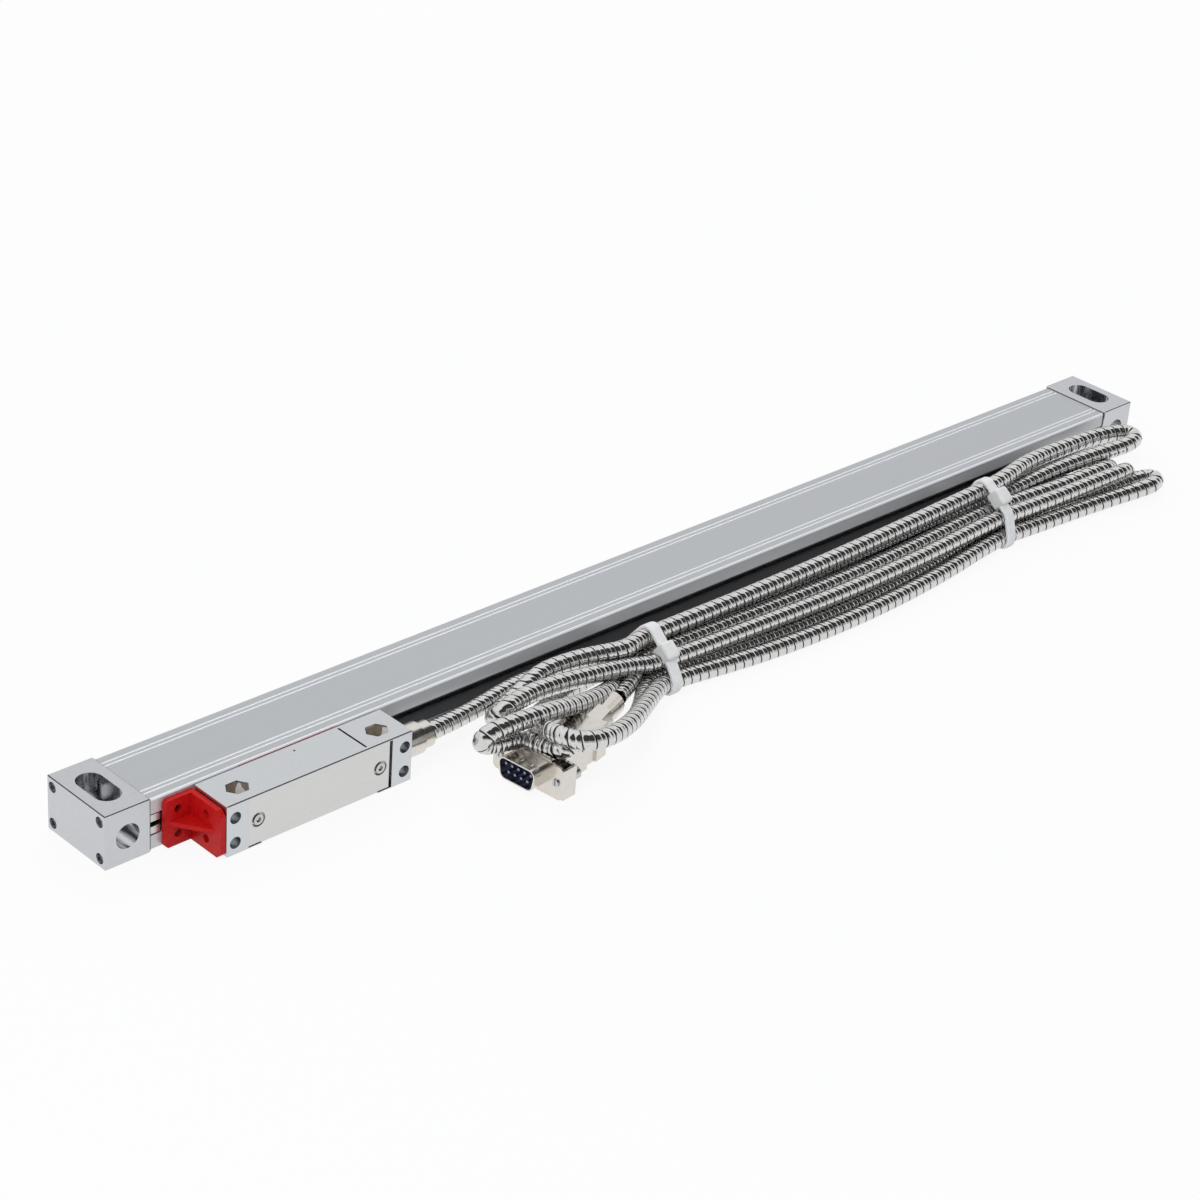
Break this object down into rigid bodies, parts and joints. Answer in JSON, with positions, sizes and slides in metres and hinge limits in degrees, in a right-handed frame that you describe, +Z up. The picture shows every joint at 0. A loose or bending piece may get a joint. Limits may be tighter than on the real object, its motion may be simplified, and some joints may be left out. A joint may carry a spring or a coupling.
{
  "type": "linear glass scale",
  "caption": "Sealed linear glass scale: slotted aluminium housing with end blocks, sliding reading head, red transport bracket and an armoured hose to a nine-pin plug.",
  "frame": {"origin": "centre of the box round the housing, blocks, head and bracket, on the resting plane", "axes": "+X along the housing from the end with the reading head at rest, +Y from the slot side to the back, +Z up"},
  "size_m": [0.516, 0.0899, 0.0234],
  "materials": {
    "chromed_block": "bright chrome plating with a soft satin face",
    "anodised_extrusion": "fine drawn aluminium, clear anodised",
    "head_metal": "satin nickel-plated casting",
    "cover_plate": "brushed stainless sheet",
    "black_rubber": "matt black elastomer",
    "inlet_steel": "machined steel insert",
    "screw_steel": "stainless screw",
    "clear_glass": "clear float glass with a fine grating",
    "bonding": "elastic bonding compound",
    "circuit_board": "green solder mask with black chips",
    "spring_steel": "rolled spring strip",
    "bearing_steel": "ground bearing steel",
    "red_coating": "red coated steel",
    "red_plastic": "thin red plastic shim",
    "nickel": "warm bright nickel plating",
    "armour": "polished stainless interlocked strip",
    "white_nylon": "natural white nylon",
    "blue_insulator": "dark blue moulded insulator",
    "gold_contact": "gold flashed contact pin"
  },
  "bodies": {
    "scale": {"extrusion": "anodised_extrusion", "glass_scale": "clear_glass", "glass_bonding": "bonding", "lip_seal_upper": "black_rubber", "lip_seal_lower": "black_rubber", "end_block_near": "chromed_block", "end_block_far": "chromed_block", "end_gasket_near": "black_rubber", "end_gasket_far": "black_rubber", "end_screws_near": "screw_steel", "end_screws_far": "screw_steel", "seal_clamps_near": "inlet_steel", "seal_clamps_far": "inlet_steel", "travel_bumper_near": "black_rubber", "travel_bumper_far": "black_rubber"},
    "reading_head": {"head_body": "head_metal", "head_cover": "cover_plate", "head_cover_gasket": "black_rubber", "head_cover_screws": "screw_steel", "head_cover_washers": "screw_steel", "amplifier_board": "circuit_board", "gap_spacer": "red_plastic", "coupling_arm": "inlet_steel", "coupling_spring": "spring_steel", "carriage_frame": "head_metal", "roller_axles": "bearing_steel", "index_grating": "clear_glass", "detector_board": "circuit_board", "lamp_board": "circuit_board", "hose_gland": "nickel", "hose_sleeve": "nickel", "lead_hose": "armour", "hose_hank": "armour", "tail_hose": "armour", "cable_tie_left": "white_nylon", "cable_tie_right": "white_nylon", "connector_shell": "nickel", "connector_insulator": "blue_insulator", "connector_pins": "gold_contact", "connector_hood_lower": "nickel", "connector_hood_upper": "nickel", "jackscrew_near": "screw_steel", "jackscrew_far": "screw_steel", "ferrule_nut": "nickel", "hose_ferrule": "nickel"},
    "transport_bracket": {"transport_bracket": "red_coating"},
    "face_roller_1": {"face_roller_1": "bearing_steel"},
    "face_roller_2": {"face_roller_2": "bearing_steel"},
    "edge_roller_1": {"edge_roller_1": "bearing_steel"},
    "edge_roller_2": {"edge_roller_2": "bearing_steel"}
  },
  "joints": [
    {"name": "head_slide", "type": "slide", "parent": "scale", "child": "reading_head", "axis": [1, 0, 0], "range_m": [0, 0.37]},
    {"name": "bracket_release", "type": "slide", "parent": "scale", "child": "transport_bracket", "axis": [0, -1, 0], "range_m": [0, 0.04]},
    {"name": "face_roller_1_spin", "type": "hinge", "parent": "reading_head", "child": "face_roller_1", "pos_m": [-0.2096, 0.01145, 0.00865], "axis": [0, 1, 0], "range_deg": [-7100, 10]},
    {"name": "face_roller_2_spin", "type": "hinge", "parent": "reading_head", "child": "face_roller_2", "pos_m": [-0.1616, 0.01145, 0.00865], "axis": [0, 1, 0], "range_deg": [-7100, 10]},
    {"name": "edge_roller_1_spin", "type": "hinge", "parent": "reading_head", "child": "edge_roller_1", "pos_m": [-0.2036, 0.0047, 0.013], "axis": [0, 0, 1], "range_deg": [-10, 7100]},
    {"name": "edge_roller_2_spin", "type": "hinge", "parent": "reading_head", "child": "edge_roller_2", "pos_m": [-0.1676, 0.0047, 0.013], "axis": [0, 0, 1], "range_deg": [-10, 7100]}
  ],
  "couplings": [
    {"joint": "face_roller_1_spin", "follows": "head_slide", "rad_per_m": -333.33},
    {"joint": "face_roller_2_spin", "follows": "head_slide", "rad_per_m": -333.33},
    {"joint": "edge_roller_1_spin", "follows": "head_slide", "rad_per_m": 333.33},
    {"joint": "edge_roller_2_spin", "follows": "head_slide", "rad_per_m": 333.33}
  ]
}
